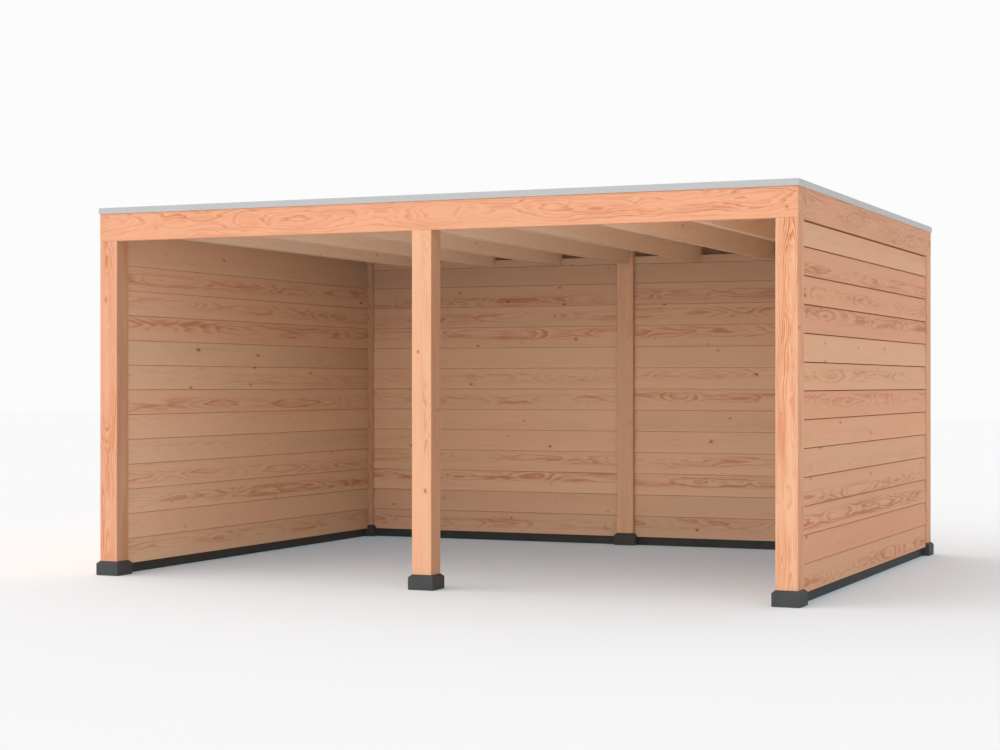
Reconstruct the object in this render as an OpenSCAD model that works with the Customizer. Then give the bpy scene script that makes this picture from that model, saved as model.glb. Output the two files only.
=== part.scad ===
// Wooden garden canopy with a flat roof: six square posts on chamfered feet, a mitred ring
// beam flush with the posts, joists under a boarded roof, and lapped boards on three sides.
// Millimetres. Z is up, the open front faces -Y, and the origin is the middle of the plan
// on the ground.

/* [Overall] */

// Width over the outer faces of the posts
canopy_w = 5000; // [4000:10:6000]
// Depth over the outer faces of the posts
canopy_d = 4000; // [3000:10:5000]
// Ground to the underside of the ring beam
clear_h = 2336; // [2100:1:2600]

/* [Posts and feet] */

// Side of a square post
post_w = 140; // [115:1:160]
// How far a foot stands out from its post
foot_proud = 20; // [8:1:30]
// Height of a foot
foot_h = 100; // [80:1:160]
// Height of the sloping top edge of a foot
foot_slope_h = 18; // [6:1:30]

/* [Beams and joists] */

// Thickness of the ring beam
beam_t = 60; // [40:1:75]
// Height of the ring beam and of the joists
beam_h = 190; // [140:1:240]
// Thickness of a joist
joist_t = 60; // [38:1:80]

/* [Walls] */

// Height of the plinth under the boards
plinth_h = 70; // [40:1:76]
// Thickness of the plinth
plinth_t = 46; // [30:1:60]
// Face of a post to the outer boards
recess_out = 8; // [6:1:20]
// Face of a post to the inner boards
recess_in = 34; // [24:1:44]
// Visible height of one lapped board
board_pitch = 175.5; // [120:0.5:220]
// How far the foot of a board stands out over the one below
board_lap = 10; // [4:0.5:14]
// Thickness of a lapped board at its foot
board_t = 22; // [18:1:26]
// Height of the boards that run on above the underside of the beam inside
top_board_h = 60; // [30:1:100]

/* [Roof] */

// Thickness of the roof boards
deck_t = 18; // [15:0.5:28]
// Thickness of the roof sheet
sheet_t = 2; // [1:0.5:4]
// Height of the roof-edge trim
trim_h = 42; // [36:1:70]
// How far the trim stands out from the ring beam
trim_over = 7; // [4:1:40]
// Thickness of the trim metal
trim_t = 3; // [2:0.5:4]
// Width of the trim flange that lies on the roof
flange_w = 60; // [40:1:120]

/* [Hidden] */

half_w = canopy_w/2;
half_d = canopy_d/2;
// Distance from the middle to the middle of an outer post
post_x = half_w - post_w/2;
post_y = half_d - post_w/2;
foot_w = post_w + 2*foot_proud;
// Level of the top of the ring beam, where the roof boards lie
roof_z = clear_h + beam_h;
sheet_z = roof_z + deck_t;
flange_z = sheet_z + sheet_t;
// The roof boards reach out as far as the back of the trim
deck_over = trim_over - trim_t;
joists = 7;
bay_w = (canopy_w - 2*beam_t - joists*joist_t)/(joists + 1);
// Inner face of a wall and outer face of the plinth, measured inwards from the outer post face
inner_face = post_w - recess_in;
plinth_in = (recess_out + inner_face - plinth_t)/2;
courses = ceil((clear_h - plinth_h)/board_pitch);

// A square-edged piece between two opposite corners
module piece(low, high) {
  translate(low)
    cube(high - low);
}

// Side view of a foot
module foot_outline() {
  polygon([
    [-foot_w/2, 0],
    [foot_w/2, 0],
    [foot_w/2, foot_h - foot_slope_h],
    [post_w/2, foot_h],
    [-post_w/2, foot_h],
    [-foot_w/2, foot_h - foot_slope_h]
  ]);
}

// A square foot with its top edges sloped in to the post
module foot(x, y) {
  translate([x, y, 0])
    intersection() {
      translate([0, foot_w/2, 0])
        rotate([90, 0, 0])
          linear_extrude(foot_w)
            foot_outline();
      translate([-foot_w/2, 0, 0])
        rotate([90, 0, 90])
          linear_extrude(foot_w)
            foot_outline();
    }
}

// A post whose head is cut back on the sides where the ring beam passes:
// side_x and side_y are -1, 0 or 1 and point out of the canopy
module post(x, y, side_x, side_y) {
  low = [x - post_w/2, y - post_w/2];
  high = [x + post_w/2, y + post_w/2];
  cut_low = [side_x < 0 ? beam_t : 0, side_y < 0 ? beam_t : 0];
  cut_high = [side_x > 0 ? beam_t : 0, side_y > 0 ? beam_t : 0];
  head_low = low + cut_low;
  head_high = high - cut_high;
  union() {
    piece([low[0], low[1], foot_h], [high[0], high[1], clear_h]);
    piece([head_low[0], head_low[1], foot_h], [head_high[0], head_high[1], roof_z]);
  }
}

// Height of the foot of a board, counted up from the plinth
function course_z(k) = min(plinth_h + k*board_pitch, clear_h);

// How far a board leans back by its visible top
function lean(k) = board_lap*(course_z(k + 1) - course_z(k))/board_pitch;

// Section of a wall: distance in from the outer post face, and height
function wall_section() = concat(
  [for (k = [0:courses - 1]) each [
    [recess_out, course_z(k)],
    [recess_out + lean(k), course_z(k + 1)]
  ]],
  [for (k = [courses - 1:-1:0]) each [
    [inner_face - lean(k), course_z(k + 1)],
    [inner_face, course_z(k)]
  ]]
);

// A wall along Y at one side of the canopy, cut round the feet at its ends
module side_wall(side) {
  difference() {
    translate([0, half_d - post_w, 0])
      rotate([90, 0, 0])
        linear_extrude(canopy_d - 2*post_w)
          polygon([for (p = wall_section()) [side*(half_w - p[0]), p[1]]]);
    foot(side*post_x, -post_y);
    foot(side*post_x, post_y);
  }
}

// A wall along X at the back, from the middle post to an outer post
module back_wall(side) {
  span = post_x - post_w;
  difference() {
    translate([side*post_x/2 - span/2, 0, 0])
      rotate([90, 0, 90])
        linear_extrude(span)
          polygon([for (p = wall_section()) [half_d - p[0], p[1]]]);
    foot(0, post_y);
    foot(side*post_x, post_y);
  }
}

// A plinth on the ground along one side, from foot to foot
module side_plinth(side) {
  run = canopy_d - 2*post_w - 2*foot_proud;
  middle = half_w - plinth_in - plinth_t/2;
  piece(
    [side*middle - plinth_t/2, -run/2, 0],
    [side*middle + plinth_t/2, run/2, plinth_h]
  );
}

// A plinth on the ground at the back, from foot to foot
module back_plinth(side) {
  run = post_x - foot_w;
  piece(
    [side*post_x/2 - run/2, half_d - plinth_in - plinth_t, 0],
    [side*post_x/2 + run/2, half_d - plinth_in, plinth_h]
  );
}

// The board that runs on inside above the underside of a side beam
module side_top_board(side) {
  middle = half_w - inner_face + board_t/2;
  piece(
    [side*middle - board_t/2, -half_d + post_w, clear_h],
    [side*middle + board_t/2, half_d - post_w, clear_h + top_board_h]
  );
}

// Middle of a joist, counted from the left
function joist_x(i) = -half_w + beam_t + i*(bay_w + joist_t) - joist_t/2;

// Where the boards above the back wall start and stop: they fill the bays between joists,
// and stop at the posts
function bay_from(i) = i == 0 ? -half_w + post_w
  : i == (joists + 1)/2 ? post_w/2
  : joist_x(i) + joist_t/2;
function bay_to(i) = i == joists ? half_w - post_w
  : i == (joists - 1)/2 ? -post_w/2
  : joist_x(i + 1) - joist_t/2;

// A joist from front to back; the middle one stops at the middle posts
module joist(i) {
  end = i == (joists + 1)/2 ? post_w : beam_t;
  piece(
    [joist_x(i) - joist_t/2, -half_d + end, clear_h],
    [joist_x(i) + joist_t/2, half_d - end, roof_z]
  );
}

// A ring beam along X with mitred ends; side is -1 at the front and 1 at the back
module long_beam(side) {
  translate([0, 0, clear_h])
    linear_extrude(beam_h)
      polygon([
        [-half_w, side*half_d],
        [half_w, side*half_d],
        [half_w - beam_t, side*(half_d - beam_t)],
        [-half_w + beam_t, side*(half_d - beam_t)]
      ]);
}

// A ring beam along Y with mitred ends; side is -1 at the left and 1 at the right
module short_beam(side) {
  translate([0, 0, clear_h])
    linear_extrude(beam_h)
      polygon([
        [side*half_w, -half_d],
        [side*half_w, half_d],
        [side*(half_w - beam_t), half_d - beam_t],
        [side*(half_w - beam_t), -half_d + beam_t]
      ]);
}

// Section of the roof-edge trim: distance out from the ring beam, and height
function trim_section() = [
  [trim_over, roof_z],
  [trim_over, roof_z + trim_h],
  [deck_over, roof_z + trim_h],
  [deck_over, flange_z + trim_t],
  [-flange_w, flange_z + trim_t],
  [-flange_w, flange_z],
  [deck_over, flange_z],
  [deck_over, roof_z]
];

// A trim along X, mitred at the corners
module long_trim(side) {
  reach = half_w + trim_over;
  rise = trim_over + flange_w;
  intersection() {
    translate([-reach, 0, 0])
      rotate([90, 0, 90])
        linear_extrude(2*reach)
          polygon([for (p = trim_section()) [side*(half_d + p[0]), p[1]]]);
    translate([0, 0, roof_z])
      linear_extrude(trim_h)
        polygon([
          [-reach, side*(half_d + trim_over)],
          [reach, side*(half_d + trim_over)],
          [reach - rise, side*(half_d - flange_w)],
          [-reach + rise, side*(half_d - flange_w)]
        ]);
  }
}

// A trim along Y, mitred at the corners
module short_trim(side) {
  reach = half_d + trim_over;
  rise = trim_over + flange_w;
  intersection() {
    translate([0, reach, 0])
      rotate([90, 0, 0])
        linear_extrude(2*reach)
          polygon([for (p = trim_section()) [side*(half_w + p[0]), p[1]]]);
    translate([0, 0, roof_z])
      linear_extrude(trim_h)
        polygon([
          [side*(half_w + trim_over), -reach],
          [side*(half_w + trim_over), reach],
          [side*(half_w - flange_w), reach - rise],
          [side*(half_w - flange_w), -reach + rise]
        ]);
  }
}

// Feet: dark cast blocks under the posts
module front_left_foot() {
  color([0.27, 0.27, 0.27])
    foot(-post_x, -post_y);
}

module front_middle_foot() {
  color([0.27, 0.27, 0.27])
    foot(0, -post_y);
}

module front_right_foot() {
  color([0.27, 0.27, 0.27])
    foot(post_x, -post_y);
}

module rear_left_foot() {
  color([0.27, 0.27, 0.27])
    foot(-post_x, post_y);
}

module rear_middle_foot() {
  color([0.27, 0.27, 0.27])
    foot(0, post_y);
}

module rear_right_foot() {
  color([0.27, 0.27, 0.27])
    foot(post_x, post_y);
}

// Posts: square timbers standing on the feet
module front_left_post() {
  color([0.90, 0.66, 0.52])
    post(-post_x, -post_y, -1, -1);
}

module front_middle_post() {
  color([0.90, 0.66, 0.52])
    post(0, -post_y, 0, -1);
}

module front_right_post() {
  color([0.90, 0.66, 0.52])
    post(post_x, -post_y, 1, -1);
}

module rear_left_post() {
  color([0.90, 0.66, 0.52])
    post(-post_x, post_y, -1, 1);
}

module rear_middle_post() {
  color([0.90, 0.66, 0.52])
    post(0, post_y, 0, 1);
}

module rear_right_post() {
  color([0.90, 0.66, 0.52])
    post(post_x, post_y, 1, 1);
}

// Plinths: dark rails on the ground under the boarded sides
module left_plinth() {
  color([0.24, 0.25, 0.25])
    side_plinth(-1);
}

module right_plinth() {
  color([0.24, 0.25, 0.25])
    side_plinth(1);
}

module back_left_plinth() {
  color([0.24, 0.25, 0.25])
    back_plinth(-1);
}

module back_right_plinth() {
  color([0.24, 0.25, 0.25])
    back_plinth(1);
}

// Walls: lapped boards on both faces, between the posts
module left_wall() {
  color([0.85, 0.62, 0.48])
    side_wall(-1);
}

module right_wall() {
  color([0.85, 0.62, 0.48])
    side_wall(1);
}

module back_left_wall() {
  color([0.85, 0.62, 0.48])
    back_wall(-1);
}

module back_right_wall() {
  color([0.85, 0.62, 0.48])
    back_wall(1);
}

// Top boards: the inner boards carried on above the underside of the beam
module left_top_board() {
  color([0.85, 0.62, 0.48])
    side_top_board(-1);
}

module right_top_board() {
  color([0.85, 0.62, 0.48])
    side_top_board(1);
}

module back_top_boards() {
  face_y = half_d - inner_face;
  color([0.85, 0.62, 0.48])
    for (i = [0:joists])
      piece(
        [bay_from(i), face_y, clear_h],
        [bay_to(i), face_y + board_t, clear_h + top_board_h]
      );
}

// Ring beam: four timbers set into the post heads
module front_beam() {
  color([0.90, 0.66, 0.52])
    long_beam(-1);
}

module back_beam() {
  color([0.90, 0.66, 0.52])
    long_beam(1);
}

module left_beam() {
  color([0.90, 0.66, 0.52])
    short_beam(-1);
}

module right_beam() {
  color([0.90, 0.66, 0.52])
    short_beam(1);
}

// Joists: front to back between the ring beams
module joist_1() {
  color([0.80, 0.58, 0.45])
    joist(1);
}

module joist_2() {
  color([0.80, 0.58, 0.45])
    joist(2);
}

module joist_3() {
  color([0.80, 0.58, 0.45])
    joist(3);
}

module joist_4() {
  color([0.80, 0.58, 0.45])
    joist(4);
}

module joist_5() {
  color([0.80, 0.58, 0.45])
    joist(5);
}

module joist_6() {
  color([0.80, 0.58, 0.45])
    joist(6);
}

module joist_7() {
  color([0.80, 0.58, 0.45])
    joist(7);
}

// Roof boards: a flat deck on the ring beam and the joists
module roof_boards() {
  color([0.75, 0.55, 0.42])
    piece(
      [-half_w - deck_over, -half_d - deck_over, roof_z],
      [half_w + deck_over, half_d + deck_over, sheet_z]
    );
}

// Roof sheet: a rubber sheet over the whole deck
module roof_sheet() {
  color([0.13, 0.13, 0.14])
    piece(
      [-half_w - deck_over, -half_d - deck_over, sheet_z],
      [half_w + deck_over, half_d + deck_over, flange_z]
    );
}

// Trim: bent metal edge round the roof
module front_trim() {
  color([0.74, 0.74, 0.75])
    long_trim(-1);
}

module back_trim() {
  color([0.74, 0.74, 0.75])
    long_trim(1);
}

module left_trim() {
  color([0.74, 0.74, 0.75])
    short_trim(-1);
}

module right_trim() {
  color([0.74, 0.74, 0.75])
    short_trim(1);
}

front_left_foot();
front_middle_foot();
front_right_foot();
rear_left_foot();
rear_middle_foot();
rear_right_foot();
front_left_post();
front_middle_post();
front_right_post();
rear_left_post();
rear_middle_post();
rear_right_post();
left_plinth();
right_plinth();
back_left_plinth();
back_right_plinth();
left_wall();
right_wall();
back_left_wall();
back_right_wall();
left_top_board();
right_top_board();
back_top_boards();
front_beam();
back_beam();
left_beam();
right_beam();
joist_1();
joist_2();
joist_3();
joist_4();
joist_5();
joist_6();
joist_7();
roof_boards();
roof_sheet();
front_trim();
back_trim();
left_trim();
right_trim();
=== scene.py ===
import math

import bpy
import numpy as np
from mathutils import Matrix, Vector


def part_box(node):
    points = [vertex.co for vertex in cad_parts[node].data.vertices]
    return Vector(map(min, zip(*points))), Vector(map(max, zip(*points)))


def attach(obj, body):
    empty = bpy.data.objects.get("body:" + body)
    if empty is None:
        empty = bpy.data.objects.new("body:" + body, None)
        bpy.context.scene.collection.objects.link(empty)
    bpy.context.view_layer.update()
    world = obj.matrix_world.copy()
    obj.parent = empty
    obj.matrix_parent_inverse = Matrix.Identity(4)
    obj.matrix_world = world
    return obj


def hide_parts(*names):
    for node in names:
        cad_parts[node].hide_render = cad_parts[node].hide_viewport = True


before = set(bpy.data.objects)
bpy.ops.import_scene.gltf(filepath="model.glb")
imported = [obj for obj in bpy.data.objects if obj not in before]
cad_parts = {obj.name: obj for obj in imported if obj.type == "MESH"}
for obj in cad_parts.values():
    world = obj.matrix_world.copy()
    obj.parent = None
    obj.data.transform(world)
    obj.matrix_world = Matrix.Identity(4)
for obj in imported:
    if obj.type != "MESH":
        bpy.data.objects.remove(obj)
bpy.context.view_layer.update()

# Feet: cast blocks under the six posts, through-coloured anthracite, with the top edges
# sloped in to the post so that rain runs off. They stand loose on the ground.


class Field:
    """A value that varies over a surface. It wraps a node socket, and an expression on
    fields adds the Math nodes that work it out."""

    def __init__(self, tree, socket=None):
        self.tree = tree
        self.socket = socket

    def node(self, kind, settings=None, sockets=None, out=0):
        """Adds a node: its settings first, then the values or links of its sockets."""
        node = self.tree.nodes.new(kind)
        for key, value in (settings or {}).items():
            setattr(node, key, value)
        for key, value in (sockets or {}).items():
            if isinstance(value, Field):
                self.tree.links.new(value.socket, node.inputs[key])
            else:
                node.inputs[key].default_value = value
        return Field(self.tree, node.outputs[out])

    def math(self, operation, *values):
        """A Math node on this field and other fields or numbers."""
        sockets = {i: value for i, value in enumerate((self, *values))}
        return self.node("ShaderNodeMath", {"operation": operation}, sockets)

    def __add__(self, other):
        return self.math("ADD", other)

    __radd__ = __add__

    def __sub__(self, other):
        return self.math("SUBTRACT", other)

    def __rsub__(self, other):
        return self * -1 + other

    def __mul__(self, other):
        return self.math("MULTIPLY", other)

    __rmul__ = __mul__

    def __truediv__(self, other):
        return self.math("DIVIDE", other)

    def __pow__(self, other):
        return self.math("POWER", other)

    def vector(self, x, y, z):
        """A vector of three fields or numbers."""
        return self.node("ShaderNodeCombineXYZ", None, {0: x, 1: y, 2: z})

    def split(self):
        """The three parts of a vector, as fields."""
        return [self.node("ShaderNodeSeparateXYZ", None, {0: self}, i) for i in range(3)]

    def noise(self, place, scale, detail=2.0, roughness=0.5):
        """Smooth noise about zero, from about -0.5 to 0.5."""
        sockets = {"Vector": place, "Scale": scale, "Detail": detail, "Roughness": roughness}
        return self.node("ShaderNodeTexNoise", None, sockets) - 0.5

    def step(self, low, high):
        """A smooth step from 0 at low to 1 at high."""
        settings = {"interpolation_type": "SMOOTHSTEP"}
        return self.node("ShaderNodeMapRange", settings, {"Value": self, 1: low, 2: high})

    def mix(self, first, second):
        """The first colour where this field is 0, and the second where it is 1."""
        sockets = {0: self, 6: first, 7: second}
        return self.node("ShaderNodeMix", {"data_type": "RGBA"}, sockets, 2)


def new_finish(name):
    """A material, its Principled shader and a field to start expressions from."""
    finish = bpy.data.materials.new(name)
    finish.use_nodes = True
    return finish, finish.node_tree.nodes["Principled BSDF"], Field(finish.node_tree)


def wire(field, socket):
    """Links a field to a socket of a shader."""
    field.tree.links.new(field.socket, socket)


def cast_finish(name, dark, light):
    """A cast surface: a cloudy tone between two greys, with fine sandy pores."""
    finish, shader, start = new_finish(name)
    place = start.node("ShaderNodeTexCoord", out="Object")
    cloud = start.noise(place, scale=9.0, detail=4.0, roughness=0.6)
    sand = start.noise(place, scale=420.0, detail=3.0, roughness=0.7)
    tone = (0.5 + cloud * 0.7 + sand * 0.5).step(0.1, 0.9)
    wire(tone.mix((*dark, 1), (*light, 1)), shader.inputs["Base Color"])
    wire(0.72 + cloud * 0.2 + sand * 0.15, shader.inputs["Roughness"])
    shader.inputs["Specular IOR Level"].default_value = 0.3
    bump = {"Strength": 0.25, "Distance": 0.001, "Height": sand + cloud * 0.5}
    wire(start.node("ShaderNodeBump", None, bump), shader.inputs["Normal"])
    return finish


def eased(corners, radius, steps=3):
    """A closed outline with eased corners: each corner p becomes points of the parabola
    (1-t)^2 a + 2t(1-t) p + t^2 b, where a and b lie one radius from p on its two sides."""
    p = np.asarray(corners, float)
    back = np.roll(p, 1, axis=0) - p
    ahead = np.roll(p, -1, axis=0) - p
    a = p + radius * back / np.linalg.norm(back, axis=1, keepdims=True)
    b = p + radius * ahead / np.linalg.norm(ahead, axis=1, keepdims=True)
    t = np.linspace(0, 1, steps + 1)[None, :, None]
    points = (1 - t) ** 2 * a[:, None] + 2 * t * (1 - t) * p[:, None] + t**2 * b[:, None]
    return points.reshape(-1, 2)


def box_outline(width, height):
    """Corners of a rectangle about the origin, anticlockwise."""
    x, y = width / 2, height / 2
    return [(-x, -y), (x, -y), (x, y), (-x, y)]


def skin(rings):
    """Faces of a closed skin over rings[i, j]: quads between ring i and ring i + 1, and a
    flat cap on the first and the last ring."""
    n, m = rings.shape[:2]
    i, j = np.meshgrid(np.arange(n - 1), np.arange(m), indexing="ij")
    k = (j + 1) % m
    quads = np.stack([i * m + j, i * m + k, (i + 1) * m + k, (i + 1) * m + j], -1)
    caps = [np.arange(m)[::-1], np.arange(m) + (n - 1) * m]
    return [*quads.reshape(-1, 4), *caps]


def make_piece(name, parts, finish, slot, *nodes):
    """One object from several closed parts. A part is its rings of points and, for timber,
    the place of each point in its log and three numbers for its tone: lightness, redness
    and strength of figure, for the whole timber or for each point of its rings."""
    points, faces, logs, tones, count = [], [], [], [], 0
    for rings, log, tone in parts:
        flat = rings.reshape(-1, 3)
        points.append(flat)
        faces += [(face + count).tolist() for face in skin(rings)]
        count += len(flat)
        logs.append(np.zeros_like(flat) if log is None else log.reshape(-1, 3))
        tones.append(np.broadcast_to(tone, rings.shape).reshape(-1, 3))
    mesh = bpy.data.meshes.new(name)
    mesh.from_pydata(np.concatenate(points).tolist(), [], faces)
    for key, rows in (("log", logs), ("tone", tones)):
        layer = mesh.attributes.new(key, "FLOAT_VECTOR", "POINT")
        layer.data.foreach_set("vector", np.concatenate(rows).astype(np.float32).ravel())
    mesh.materials.append(finish)
    piece = bpy.data.objects.new(name, mesh)
    bpy.context.scene.collection.objects.link(piece)
    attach(piece, "root")
    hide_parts(*nodes)


FOOT_EASE = 0.004
FOOT_SLOPE_H = 0.018
# Cast pieces have no tone of timber
PLAIN = (0.0, 0.0, 0.0)
foot_finish = cast_finish("anthracite_cast", (0.046, 0.047, 0.047), (0.075, 0.075, 0.075))


def foot_rings(low, high, post_half):
    """A square outline carried upwards: straight to the slope, then drawn in to the post."""
    half = (high[0] - low[0]) / 2
    middle = np.array([(low[0] + high[0]) / 2, (low[1] + high[1]) / 2])
    slope_z = high[2] - FOOT_SLOPE_H
    levels = [
        (low[2], half - FOOT_EASE),
        (low[2] + FOOT_EASE, half),
        (slope_z - FOOT_EASE / 2, half),
        (slope_z + FOOT_EASE / 2, half - FOOT_EASE / 2),
        (high[2] - FOOT_EASE / 4, post_half + FOOT_EASE / 4),
        (high[2], post_half),
    ]
    rings = []
    for z, reach in levels:
        outline = eased(box_outline(2 * reach, 2 * reach), FOOT_EASE) + middle
        rings.append(np.column_stack([outline, np.full(len(outline), z)]))
    return np.array(rings)


for node in [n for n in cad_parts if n.endswith("_foot")]:
    low, high = (np.array(v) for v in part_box(node))
    post_low, post_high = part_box(node.replace("_foot", "_post"))
    post_half = (post_high[0] - post_low[0]) / 2
    parts = [(foot_rings(low, high, post_half), None, PLAIN)]
    make_piece(node + "_block", parts, foot_finish, "feet", node)

# Posts: square planed softwood timbers with eased arrises, standing on the feet. The head is
# cut back where the ring beam passes, so beam and post are flush outside.

# One seeded source for all that differs by chance from timber to timber
dice = np.random.default_rng(7)


def timber_finish(
    name, pale, pink, dark, painted_shade_colour, spacing=0.0075, heart=0.0, flecks=1.5, knot=0.003, gloss=0.1
):
    """Planed softwood seen as a cut through a log: rings round a wandering pith, dark where
    the ring closes, with small knots, fine fibres and slow changes from pale to pink. Redness
    under -1 gives way to the painted shade colour, a paler, less red copy of the wood for
    faces in shade. Spacing is the width of a ring, heart tells how far the figure keeps to a
    band over the pith, flecks is the strength of short dark dashes, knot is the radius of the
    smallest knot, and gloss is the strength of the shine."""
    finish, shader, start = new_finish(name)
    log = start.node("ShaderNodeAttribute", {"attribute_name": "log"}, out="Vector")
    along, across, deep = log.split()
    tone = start.node("ShaderNodeAttribute", {"attribute_name": "tone"}, out="Vector")
    light, red, figure = tone.split()

    def grain(run, spread, detail=2.0, roughness=0.5, shift=0.0):
        """Noise with so many waves a metre along the log and across it."""
        place = start.vector(along * run + shift, across * spread, deep * spread)
        return start.noise(place, 1.0, detail, roughness)

    # Knots: small ovals in some of the cells of the log, drawn out along it and into it.
    cell = (0.5, 0.16, 0.12)
    stretch = (1.4, 1.0, 5.0)
    knot_brown = (0.2, 0.06, 0.022, 1)
    plan = start.vector(along / cell[0], across / cell[1], deep / cell[2])
    sockets = {"Vector": plan, "Scale": 1.0}
    spot = start.node("ShaderNodeTexVoronoi", None, sockets, "Position").split()
    kept, size, _ = start.node("ShaderNodeTexVoronoi", None, sockets, "Color").split()
    axes = zip((along, across, deep), spot, cell, stretch)
    off = [(at - s * c) / w for at, s, c, w in axes]
    away = (off[0] * off[0] + off[1] * off[1] + off[2] * off[2]).math("SQRT")
    kept = kept.step(0.56, 0.58)
    radius = knot + size * 0.005
    core = (1 - (away / radius).step(0.5, 1.2)) * kept
    halo = (1 - (away / radius).step(0.8, 3.0)) * kept

    # Rings: distance from a pith that wanders along the log, with ragged edges. They are
    # pushed aside by the knots.
    side = across + grain(0.6, 1.0, 0.0, shift=31.7) * 0.05
    depth = deep + grain(0.8, 1.5, 1.0) * 0.14 + grain(2.4, 2.0, 1.0) * 0.06
    girth = (side * side + depth * depth).math("SQRT")
    push = kept * 0.010 / (1 + (away / 0.02) ** 2)
    ragged = grain(2.3, 22.0) * 0.026 + grain(8.0, 70.0, 1.0, shift=17.0) * 0.007
    turn = (girth + ragged + push) / spacing
    ring = turn.math("FRACT")
    number = turn.math("FLOOR")
    vary = start.node("ShaderNodeTexWhiteNoise", {"noise_dimensions": "1D"}, {"W": number})
    patch = (0.8 + grain(1.5, 9.0, 1.0, shift=5.0) * 1.8).math("MAXIMUM", 0.0)
    late = ring**1.4 * (1 - ring.step(0.7, 1.0)) * (0.35 + vary * 1.1) * patch
    band = 1 - (side * side).step(0.0003, 0.0035) * heart

    # Fibres, streaks, flecks and slow clouds of colour.
    fibre = grain(3.0, 240.0, 2.0, 0.6)
    streak = grain(0.9, 55.0, 2.0, 0.6)
    cloud = grain(0.9, 5.0)
    blush = grain(1.9, 20.0).math("MAXIMUM", 0.0) * flecks

    base = (0.5 + cloud * 1.1 + red * 0.4).step(0.0, 1.0).mix((*pale, 1), (*pink, 1))
    # Painted shade: where redness is under -1 the wood turns to the paler, less red shade colour
    base = (red * -1).step(1.0, 2.0).mix(base, (*painted_shade_colour, 1))
    shade = (late + blush) * band * figure + streak * 0.22 + fibre * 0.12
    wood = (shade + halo * 0.45).step(-0.08, 1.15).mix(base, (*dark, 1))
    wood = (core * 0.8).mix(wood, knot_brown)
    gain = 1 + light * 0.055 + cloud * 0.12
    bright = start.node("ShaderNodeVectorMath", {"operation": "SCALE"}, {0: wood, "Scale": gain})
    wire(bright, shader.inputs["Base Color"])
    wire(0.6 + fibre * 0.2 - late * 0.06, shader.inputs["Roughness"])
    shader.inputs["Specular IOR Level"].default_value = gloss
    bump = {"Strength": 0.15, "Distance": 0.0005, "Height": fibre}
    wire(start.node("ShaderNodeBump", None, bump), shader.inputs["Normal"])
    return finish


def carry(outline, start, along, across, deep, length, ease=0.0, cut=None):
    """An outline of (a, d) points carried in a straight line, to start + s along + a across
    + d deep. The rings at the ends are drawn in by the ease, and cut gives how far each
    point of the outline stops short. Also gives (s, a, d) for each point."""
    outline = np.asarray(outline, float)
    along, across, deep = (np.asarray(v, float) for v in (along, across, deep))
    x, y = outline.T
    area = np.sum(x * np.roll(y, -1) - np.roll(x, -1) * y)
    if area * np.dot(np.cross(across, deep), along) < 0:
        outline = outline[::-1]
    middle = (outline.min(axis=0) + outline.max(axis=0)) / 2
    half = (outline.max(axis=0) - outline.min(axis=0)) / 2
    drawn_in = middle + (outline - middle) * (1 - ease / half)
    stations = [(0.0, drawn_in), (ease, outline), (length - ease, outline), (length, drawn_in)]
    if not ease:
        stations = [(0.0, outline), (length, outline)]
    rings, local = [], []
    for run, shape in stations:
        short = np.zeros(len(shape)) if cut is None else cut(shape)
        s = run + short * (1 - 2 * run / length)
        points = np.asarray(start) + s[:, None] * along + shape @ np.array([across, deep])
        rings.append(points)
        local.append(np.column_stack([s, shape]))
    return np.array(rings), np.array(local)


LOG_RUN = 60.0


def in_log(local, pith_across, pith_deep):
    """The place of a timber in its log: a new stretch of log for each timber."""
    return local + np.array([dice.uniform(0, LOG_RUN), pith_across, pith_deep])


def new_tone(figure):
    """Lightness and redness by chance, each from -1 to 1, with the figure that is given."""
    return np.array([dice.uniform(-1, 1), dice.uniform(-1, 1), figure])


X, Y, Z = np.eye(3)
ARRIS = 0.004
# Least and most offset of a post in its log, across and deep: the pith is beyond its face
POST_PITH = ((-0.04, 0.04), (0.10, 0.12))
# Tones of the front left post and of the two middle ones
LEFT_POST_TONE = np.array([-0.3, 0.5, 1.0])
MIDDLE_POST_TONE = np.array([0.6, -0.9, 0.6])
# The others have a tone by chance, spread and shifted. The front right one is shifted twice.
POST_SPREAD = np.array([0.5, 0.4, 1.0])
POST_SHIFT = np.array([0.0, -0.4, 0.0])
RIGHT_POST_SHIFT = np.array([0.5, -0.7, 0.45])
# Painted light and shade on the sides that look into the canopy: a lightness set for the
# light and shade on them, and a redness that turns them to the paler, less red shade colour
SHADED_SIDE_TONE = {
    "front_left_post": (-1.8, -1.4),
    "front_middle_post": (-3.0, -1.4),
    "front_right_post": (-1.8, -1.4),
    "rear_left_post": (-2.2, -2.0),
    "rear_middle_post": (1.3, -2.0),
    "rear_right_post": (1.3, -2.0),
}
frame_finish = timber_finish(
    "planed_frame_timber",
    pale=(0.756, 0.424, 0.259),
    pink=(0.761, 0.376, 0.225),
    dark=(0.570, 0.190, 0.083),
    painted_shade_colour=(0.700, 0.455, 0.305),
)
front_low, front_high = (np.array(v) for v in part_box("front_beam"))
beam_z = front_low[2]
beam_t = front_high[1] - front_low[1]
middle_low, middle_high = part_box("front_middle_post")
post_w = middle_high[0] - middle_low[0]

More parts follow.
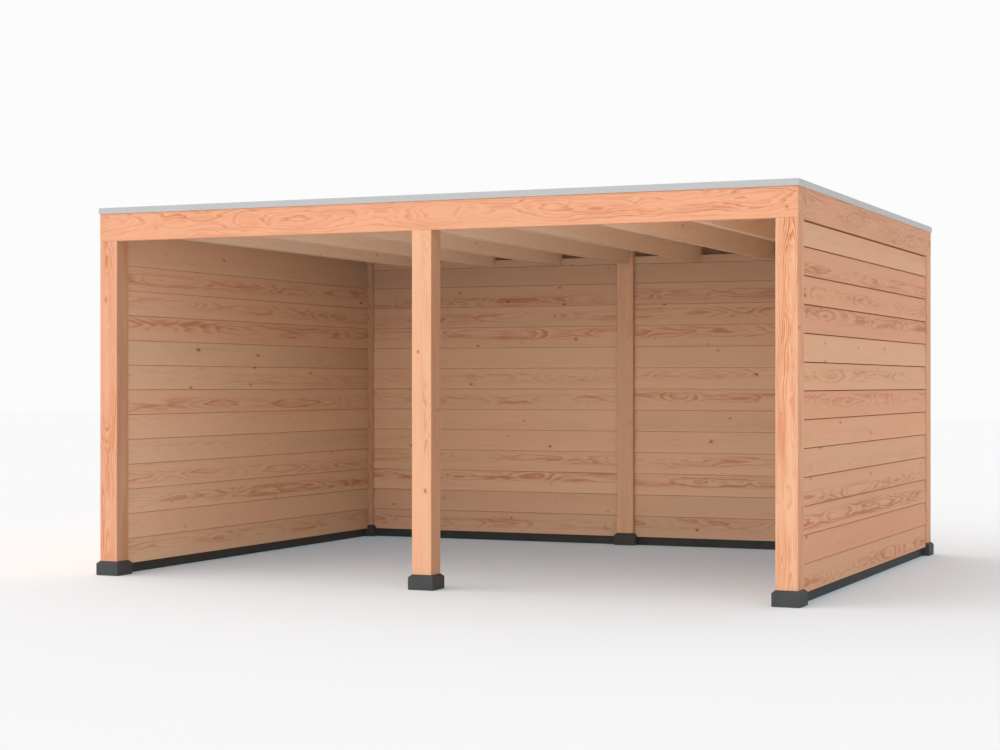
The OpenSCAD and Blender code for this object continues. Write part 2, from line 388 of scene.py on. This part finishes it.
for node in [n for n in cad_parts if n.endswith("_post")]:
    low, high = (np.array(v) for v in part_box(node))
    centre = (low + high) / 2
    # Outer sides of this post, where the ring beam passes
    sides = [np.sign(centre[0]) if "middle" not in node else 0, np.sign(centre[1])]
    pith = dice.uniform(*POST_PITH[0]), -sides[1] * dice.uniform(*POST_PITH[1])
    place = in_log(np.zeros(3), *pith)
    tone = new_tone(dice.uniform(0.8, 1.0)) * POST_SPREAD + POST_SHIFT
    if "middle" in node:
        tone = MIDDLE_POST_TONE
    if node == "front_left_post":
        tone = LEFT_POST_TONE
    if node == "front_right_post":
        tone = tone + RIGHT_POST_SHIFT
    shaded_tone = np.array([*SHADED_SIDE_TONE[node], tone[2]])
    parts = []
    for bottom, top, cut_back in ((low[2], beam_z, 0.0), (beam_z, high[2], beam_t)):
        outer = [post_w / 2 - abs(s) * cut_back for s in sides]
        outline = eased(box_outline(*[post_w / 2 + reach for reach in outer]), ARRIS)
        outline -= np.array([s * cut_back / 2 for s in sides])
        rings, local = carry(outline, (centre[0], centre[1], bottom), Z, X, Y, top - bottom)
        # Painted shade: the sides that look into the canopy fade into their shaded tone
        to_side = [reach - s * local[..., i] for i, s, reach in zip((1, 2), sides, outer) if s]
        inner = np.clip(np.min(to_side, axis=0) / ARRIS, 0, 1)[..., None]
        local[..., 0] += bottom
        parts.append((rings, local + place, tone + inner * (shaded_tone - tone)))
    make_piece(node + "_timber", parts, frame_finish, "frame_timber", node)

# Plinths: cast rails on the ground from foot to foot, which keep the boards off the wet.
# They are the same anthracite as the feet, a shade cooler.

PLINTH_EASE = 0.003
plinth_finish = cast_finish("anthracite_rail", (0.034, 0.037, 0.037), (0.058, 0.062, 0.060))

for node in [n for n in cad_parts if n.endswith("_plinth")]:
    low, high = (np.array(v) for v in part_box(node))
    size = high - low
    along, across = (X, Y) if size[0] > size[1] else (Y, X)
    width, length = size @ across, size @ along
    outline = eased(box_outline(width, size[2]), PLINTH_EASE)
    start = (low + high) / 2 - along * length / 2
    rings, _ = carry(outline, start, along, across, Z, length)
    make_piece(node + "_rail", [(rings, None, PLAIN)], plinth_finish, "plinth", node)

# Walls: lapped softwood boards on both faces of a thin stud frame. Each board leans in to its
# top, where its tongue goes up behind the thick lip of the board above.

BOARD_PITCH = 0.1755
BOARD_LAP = 0.010
BOARD_EASE = 0.0015
# The last course of a wall is up to so many pitches high
LAST_COURSE = 1.6
TONGUE_H = 0.014
TONGUE_PLAY = 0.001
END_GAP = 0.001
END_EASE = 0.001
# How far a board may stand proud of its place or behind it
UNEVEN = 0.0006
# How far the top inner board of a side wall goes above the strip that it takes the place of
TOP_RISE = 0.035
# Lip thickness, board thickness, open joint above a board and under the beam
OUTER_BOARD = (0.026, 0.034, 0.005, 0.009)
INNER_BOARD = (0.013, 0.019, 0.004, 0.002)
# Least and most offset of a board in its log, across and deep: the pith is off the board
BOARD_PITH = ((-0.13, -0.04), (0.06, 0.10))
# Figure and redness of the courses from the plinth up, and their painted light and shade
# inside: lighter in the middle, darker at the bottom and most at the top
COURSE_FIGURE = (1.1, 0.3, 1.4, 1.1, 0.4, 0.4, 1.1, 0.8, 0.25, 1.4, 1.0, 1.2, 0.35)
COURSE_RED = (-0.3, 0.7, -0.4, 0.0, -0.5, 0.1, 0.9, -0.6, -0.9, 1.0, 0.6, 0.8, -0.7)
COURSE_LIGHT_AND_SHADE = (-1.5, -0.5, 0.6, 1.0, 1.0, 0.6, 1.0, 1.0, 0.2, 0.0, -0.8, -1.8, -3.0)
# Share of that redness and of that painted light and shade, the painted light or shade added
# to the lightness, and the scale of the log along a board. On the side walls the figure is
# drawn out longer.
BACK_COURSES = (0.25, 1.5, -0.5, 1.0)
SIDE_COURSES = (0.9, 0.4, 0.2, 0.6)
LIGHT_SPREAD = 0.6
# Painted shade in the joints: change of lightness, redness and figure behind the lips, where
# shade falls
OUTER_JOINT_SHADE = np.array([-10.0, 2.0, 0.0])
INNER_JOINT_SHADE = np.array([-2.0, 2.0, 0.0])
JOINT_FADE = 0.003
# Painted light and shade along a side wall inside: lighter at the front, and darker and less
# red to its rear corner, where shade falls
SIDE_FRONT_LIGHT = np.array([1.6, 0.5, 0.0])
SIDE_REAR_SHADE = np.array([-3.6, -1.2, 0.0])
wall_finish = timber_finish(
    "planed_wall_boards",
    pale=(0.795, 0.462, 0.271),
    pink=(0.778, 0.389, 0.230),
    dark=(0.560, 0.213, 0.103),
    painted_shade_colour=(0.720, 0.460, 0.290),
    spacing=0.0105,
    heart=0.7,
    flecks=2.2,
    knot=0.005,
)
# Painted light: the inner boards have a paler, less red copy of the outer boards' colour, set
# for the shade inside the canopy
inner_finish = timber_finish(
    "planed_inner_boards",
    pale=(0.804, 0.572, 0.393),
    pink=(0.793, 0.508, 0.349),
    dark=(0.620, 0.300, 0.172),
    painted_shade_colour=(0.720, 0.500, 0.340),
    spacing=0.0105,
    heart=0.7,
    flecks=2.2,
    knot=0.005,
)
foot_low, foot_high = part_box("front_left_foot")
foot_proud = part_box("front_left_post")[0][0] - foot_low[0]


def board_outline(height, section, notch, first, last):
    """Section of a lapped board as (height, depth behind the lip): a leaning face, a tongue
    at the top that the next board hides, and a rebate behind the lip at the foot. The first
    board has no rebate, and has points where its ends are cut round the feet."""
    lip, thick, joint, head = section
    top = height - (head if last else joint)
    lean = BOARD_LAP / BOARD_PITCH
    corners = [(0.0, 0.0)]
    corners += [(h, lean * h) for h in notch] if first else []
    corners += [(top, lean * top)]
    if last:
        corners += [(top, thick)]
    else:
        back, up = lip + TONGUE_PLAY, height + TONGUE_H
        corners += [(top, back), (up, back), (up, thick)]
    if first:
        corners += [(h, thick) for h in notch[::-1]] + [(0.0, thick)]
    else:
        rebate_h = TONGUE_H + TONGUE_PLAY
        corners += [(rebate_h, thick), (rebate_h, lip), (0.0, lip)]
    return eased(corners, BOARD_EASE, steps=2)


def wall_face(node, inside):
    """The boards of one face of a wall, from the plinth up to the beam. Inside a side wall
    the last course runs on up to the roof in one board."""
    low, high = (np.array(v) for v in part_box(node))
    size = high - low
    at_back = node.startswith("back")
    along = X if size[0] > size[1] else Y
    outward = Y if size[0] > size[1] else X * np.sign(low[0])
    if inside:
        outward = -outward
    length = size @ along - 2 * END_GAP
    face = (low + high) / 2 + outward * abs(size @ outward) / 2
    notch = (foot_high[2] - FOOT_SLOPE_H - low[2], foot_high[2] - low[2])
    section = INNER_BOARD if inside else OUTER_BOARD
    red_share, shade_share, shade_added, scale = BACK_COURSES if at_back else SIDE_COURSES
    top_node = node.replace("_wall", "_top_board")
    top = high[2]
    if inside and top_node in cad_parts:
        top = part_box(top_node)[1][2] + TOP_RISE

    def round_foot(shape):
        """How far the ends stop short: by the foot's width, and less up its slope."""
        return np.interp(shape[:, 0], notch, (foot_proud, 0.0))

    parts, z, last = [], low[2], False
    while not last:
        course, first = len(parts), not parts
        last = top - z <= LAST_COURSE * BOARD_PITCH
        height = top - z if last else BOARD_PITCH
        start = face - along * length / 2
        start[2] = z
        shift = dice.uniform(-UNEVEN, UNEVEN)
        outline = board_outline(height, section, notch, first, last) + np.array([0.0, shift])
        cut = round_foot if first else None
        rings, local = carry(outline, start, along, Z, -outward, length, END_EASE, cut)
        pith = dice.uniform(*BOARD_PITH[0]), dice.choice([-1, 1]) * dice.uniform(*BOARD_PITH[1])
        light = dice.uniform(-1, 1) * LIGHT_SPREAD
        # Painted light and shade inside, by course
        if inside:
            light += COURSE_LIGHT_AND_SHADE[course] * shade_share + shade_added
        tone = np.array([light, COURSE_RED[course] * red_share, COURSE_FIGURE[course]])
        # Painted shade on the faces behind the lip
        joint_shade = np.clip((local[..., 2:] - BOARD_LAP) / JOINT_FADE, 0, 1)
        tone = tone + joint_shade * (INNER_JOINT_SHADE if inside else OUTER_JOINT_SHADE)
        # Painted light at the front of a side wall inside, and painted shade to its rear corner
        if inside and not at_back:
            tone = tone + SIDE_FRONT_LIGHT + local[..., :1] / length * (SIDE_REAR_SHADE - SIDE_FRONT_LIGHT)
        local[..., 0] *= scale
        parts.append((rings, in_log(local, *pith), tone))
        z += height
    return parts


for node in [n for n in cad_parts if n.endswith("_wall")]:
    make_piece(node + "_outer_boards", wall_face(node, False), wall_finish, "wall_boards", node)
    top_node = node.replace("_wall", "_top_board")
    inner_nodes = [node, top_node] if top_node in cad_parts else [node]
    parts = wall_face(node, True)
    make_piece(node + "_inner_boards", parts, inner_finish, "wall_boards", *inner_nodes)

# Top boards at the back: short lengths of the inner boards between the joists, carried on
# above the underside of the beam and nailed to it.

TOP_EASE = 0.0015
STRIP_PITH = (0.04, 0.10)
# Painted shade: the strips, up in the recess between the joists, are darker
STRIP_SHADE = -3.5
STRIP_FIGURE = 0.5
low, high = (np.array(v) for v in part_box("back_top_boards"))
joist_boxes = sorted(
    [np.array(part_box(n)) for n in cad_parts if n.startswith("joist_")],
    key=lambda box: box[0][0],
)
bays = [(low[0], joist_boxes[0][0][0])]
bays += [(a[1][0], b[0][0]) for a, b in zip(joist_boxes, joist_boxes[1:])]
bays += [(joist_boxes[-1][1][0], high[0])]
parts = []
for left, right in bays:
    # At the middle the strips stop at the post, which is wider than the joist
    left = post_w / 2 if abs(left) < post_w / 2 else left
    right = -post_w / 2 if abs(right) < post_w / 2 else right
    outline = eased(box_outline(high[2] - low[2], high[1] - low[1]), TOP_EASE)
    start = np.array([left, (low[1] + high[1]) / 2, (low[2] + high[2]) / 2])
    rings, local = carry(outline, start, X, Z, Y, right - left, END_EASE)
    log = in_log(local, *STRIP_PITH)
    tone = np.array([STRIP_SHADE, dice.uniform(-0.5, 0.5), STRIP_FIGURE])
    parts.append((rings, log, tone))
make_piece("back_top_board_strips", parts, inner_finish, "wall_boards", "back_top_boards")

# Ring beam: four planed timbers let into the post heads, mitred where they meet at the
# corners, with their outer faces flush with the posts.

FRONT_BEAM_TONE = np.array([0.3, 1.0, 0.85])
BEAM_TONE = np.array([-0.6, -0.2, 0.9])
# Painted shade: the face that looks into the canopy turns to the paler, less red shade
# colour, and at the back it is painted much darker as well
BEAM_SHADED_FACE = np.array([0.0, -2.0, 0.6])
BACK_BEAM_SHADED_FACE = np.array([-9.0, -2.0, 0.4])

# Name, direction, outward side and the place of the outer face in its log
for node, along, outward, place in (
    ("front_beam", X, -Y, (27.527, -0.026, 0.117)),
    ("back_beam", X, Y, (40.717, 0.004, 0.122)),
    ("left_beam", Y, -X, (48.771, 0.030, 0.105)),
    ("right_beam", Y, X, (53.507, -0.005, 0.124)),
):
    low, high = (np.array(v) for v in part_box(node))
    size = high - low
    thick = abs(size @ outward)
    outline = eased(box_outline(size[2], thick), ARRIS) + np.array([0.0, thick / 2])
    face = (low + high) / 2 + outward * thick / 2
    start = face - along * (size @ along) / 2
    # Mitred: a point stops short by its depth behind the outer face
    rings, local = carry(
        outline, start, along, Z, -outward, size @ along, cut=lambda shape: shape[:, 1]
    )
    tone = FRONT_BEAM_TONE if node == "front_beam" else BEAM_TONE
    shaded_tone = BACK_BEAM_SHADED_FACE if node == "back_beam" else BEAM_SHADED_FACE
    # Painted shade on the inner face, from one arris in
    inner = np.clip((local[..., 2:] - thick + ARRIS) / ARRIS, 0, 1)
    parts = [(rings, local + np.array(place), tone + inner * (shaded_tone - tone))]
    make_piece(node + "_timber", parts, frame_finish, "frame_timber", node)

# Joists: planed timbers from front to back between the ring beams, at equal bays, under the
# roof boards. The middle one stops at the middle posts.

JOIST_EASE = 0.003
JOIST_PITH = ((-0.05, 0.05), (0.09, 0.13))
JOIST_RED = -0.8
JOIST_FIGURE = 0.5
# Painted light: lightness added to the two joists at the right end of the ceiling
LIT_JOISTS = {"joist_6": 1.5, "joist_7": 2.5}
# Painted shade underneath: change of lightness, redness and figure, darker and redder
UNDERSIDE_SHADE = np.array([-5.5, 2.0, 0.0])
# Painted light: the roof timber is paler and less red than the frame timber, set for the shade
# under the roof
joist_finish = timber_finish(
    "planed_roof_timber",
    pale=(0.882, 0.722, 0.575),
    pink=(0.850, 0.620, 0.450),
    dark=(0.720, 0.490, 0.345),
    painted_shade_colour=(0.800, 0.620, 0.460),
    gloss=0.0,
)

for node in [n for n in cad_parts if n.startswith("joist_")]:
    low, high = (np.array(v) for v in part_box(node))
    size = high - low
    outline = eased(box_outline(size[2], size[0]), JOIST_EASE)
    start = (low + high) / 2 - Y * size[1] / 2
    rings, local = carry(outline, start, Y, Z, X, size[1])
    pith = dice.uniform(*JOIST_PITH[0]), dice.choice([-1, 1]) * dice.uniform(*JOIST_PITH[1])
    # Painted shade on the underside
    underside_shade = np.clip(1 - (local[..., 1:2] + size[2] / 2) / JOIST_EASE, 0, 1)
    # Painted light on the two joists at the right end
    light = dice.uniform(-0.5, 0.5) + LIT_JOISTS.get(node, 0.0)
    tone = np.array([light, JOIST_RED, JOIST_FIGURE]) + underside_shade * UNDERSIDE_SHADE
    parts = [(rings, in_log(local, *pith), tone)]
    make_piece(node + "_timber", parts, joist_finish, "roof_timber", node)

# Roof boards: planed softwood boards laid across the joists from end to end and nailed down.
# Their eased edges show as grooves from below, between the joists.

ROOF_BOARD_W = 0.118
ROOF_BOARD_GAP = 0.001
ROOF_BOARD_EASE = 0.004
ROOF_PITH = ((-0.06, 0.06), (0.08, 0.12))
low, high = (np.array(v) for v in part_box("roof_boards"))
size = high - low
count = round(size[1] / ROOF_BOARD_W)
width = size[1] / count
parts = []
for i in range(count):
    outline = eased(box_outline(width - ROOF_BOARD_GAP, size[2]), ROOF_BOARD_EASE, steps=2)
    start = np.array([low[0], low[1] + width * (i + 0.5), (low[2] + high[2]) / 2])
    rings, local = carry(outline, start, X, Y, Z, size[0])
    pith = dice.uniform(*ROOF_PITH[0]), dice.uniform(*ROOF_PITH[1])
    parts.append((rings, in_log(local, *pith), new_tone(dice.uniform(0.3, 0.9))))
make_piece("roof_deck_boards", parts, joist_finish, "roof_timber", "roof_boards")

# Roof sheet: one sheet of black rubber glued over the roof boards, with the trim round its
# edge. It is matt and a little dusty.

RUBBER_BLACK = (0.016, 0.016, 0.018, 1)
RUBBER_DUST = (0.045, 0.045, 0.046, 1)


def dress(node, finish):
    """Gives a solid of the frame, which keeps its shape, its finish."""
    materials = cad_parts[node].data.materials
    materials.clear()
    materials.append(finish)


sheet_finish, shader, start = new_finish("roof_rubber")
place = start.node("ShaderNodeTexCoord", out="Object")
dust = start.noise(place, scale=1.6, detail=5.0, roughness=0.6)
grit = start.noise(place, scale=160.0)
dusty = (0.5 + dust * 0.9 + grit * 0.35).step(0.15, 1.0)
wire(dusty.mix(RUBBER_BLACK, RUBBER_DUST), shader.inputs["Base Color"])
wire(0.7 + dust * 0.3, shader.inputs["Roughness"])
bump = {"Strength": 0.2, "Distance": 0.001, "Height": grit}
wire(start.node("ShaderNodeBump", None, bump), shader.inputs["Normal"])
dress("roof_sheet", sheet_finish)

# Roof-edge trim: bent aluminium strips round the roof, mitred at the corners. The metal is
# left as it was rolled, with faint streaks along it.

TRIM_DARK = (0.47, 0.472, 0.475, 1)
TRIM_PALE = (0.53, 0.532, 0.535, 1)
trim_finish, shader, start = new_finish("mill_aluminium")
place = start.node("ShaderNodeTexCoord", out="Object")
px, py, pz = place.split()
streak = start.noise(start.vector(px * 2, py * 2, pz * 900), scale=1.0)
smear = start.noise(place, scale=5.0, detail=3.0)
bright = (0.5 + streak * 0.4 + smear * 0.5).step(0.0, 1.0)
wire(bright.mix(TRIM_DARK, TRIM_PALE), shader.inputs["Base Color"])
wire(0.5 + smear * 0.15 + streak * 0.1, shader.inputs["Roughness"])
shader.inputs["Metallic"].default_value = 0.35
for node in [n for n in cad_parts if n.endswith("_trim")]:
    dress(node, trim_finish)

# Floor: a plain matt studio floor, pale, with no edge in view, which isn't part of the canopy.
# As it is seen, it has a little cool light of its own, and a warm colour that makes up for it
# in full light. So its shade stays grey where the light comes off brown wood.

FLOOR_HALF = 60.0
FLOOR_SEEN = (0.797, 0.71, 0.667, 1)
FLOOR_GLOW_SEEN = (0.03, 0.13, 0.18, 1)


def grey(level):
    """A grey of one level in its three colours."""
    return (level, level, level, 1)


FLOOR_LIT = grey(0.8)
FLOOR_GLOW = grey(0.20)


def seen(field):
    """1 for rays that show the backdrop: from the camera, in a mirror or through glass."""
    rays = [
        field.node("ShaderNodeLightPath", out=name)
        for name in ("Is Camera Ray", "Is Glossy Ray", "Is Transmission Ray")
    ]
    return rays[0].math("MAXIMUM", rays[1]).math("MAXIMUM", rays[2])


floor_mesh = bpy.data.meshes.new("studio_floor")
floor_mesh.from_pydata(
    [(x, y, 0.0) for x, y in box_outline(2 * FLOOR_HALF, 2 * FLOOR_HALF)], [], [(0, 1, 2, 3)]
)
floor = bpy.data.objects.new("studio_floor", floor_mesh)
bpy.context.scene.collection.objects.link(floor)
floor_finish, shader, start = new_finish("studio_floor")
wire(seen(start).mix(FLOOR_LIT, FLOOR_SEEN), shader.inputs["Base Color"])
wire(seen(start).mix(FLOOR_GLOW, FLOOR_GLOW_SEEN), shader.inputs["Emission Color"])
shader.inputs["Emission Strength"].default_value = 1.0
shader.inputs["Specular IOR Level"].default_value = 0.0
shader.inputs["Roughness"].default_value = 1.0
floor_mesh.materials.append(floor_finish)

# Studio light: an even pale dome, brighter towards the left and a little to the front, where
# the soft key light is. Where it is seen, it is one plain near-white.

DOME = 1.155
KEY = 0.91
KEY_FROM = np.array([-0.95, -0.30, 0.0])
DOME_SEEN = 0.973
world = bpy.data.worlds.new("studio")
bpy.context.scene.world = world
world.use_nodes = True
tree = world.node_tree
tree.nodes.clear()
start = Field(tree)
ray = start.node("ShaderNodeTexCoord", out="Generated")
toward = {0: ray, 1: tuple(KEY_FROM / np.linalg.norm(KEY_FROM))}
facing = start.node("ShaderNodeVectorMath", {"operation": "DOT_PRODUCT"}, toward, 1)
shown = seen(start)
strength = shown * DOME_SEEN + (1 - shown) * (DOME + facing * KEY)
sky = start.node("ShaderNodeBackground", None, {"Color": grey(1.0), "Strength": strength})
output = tree.nodes.new("ShaderNodeOutputWorld")
wire(sky, output.inputs["Surface"])

# Camera: level, at chest height, in front of the canopy and to its right, and turned to the
# left. The horizon is a little below the middle of the picture, as in the photograph.

IMAGE_W = 1000
FOCAL_PX = 1951.4
HORIZON_DROP_PX = 9.0
SENSOR_MM = 36.0
CAMERA_AT = (5.5404, -13.3999, 1.3376)
CAMERA_TURN = math.radians(23.616)
camera_data = bpy.data.cameras.new("camera")
camera_data.sensor_fit = "HORIZONTAL"
camera_data.sensor_width = SENSOR_MM
camera_data.lens = FOCAL_PX * SENSOR_MM / IMAGE_W
camera_data.shift_y = HORIZON_DROP_PX / IMAGE_W
camera_data.clip_end = 300.0
camera = bpy.data.objects.new("camera", camera_data)
camera.location = CAMERA_AT
camera.rotation_euler = (math.radians(90), 0.0, CAMERA_TURN)
bpy.context.scene.collection.objects.link(camera)
bpy.context.scene.camera = camera
bpy.context.scene.view_settings.view_transform = "Standard"
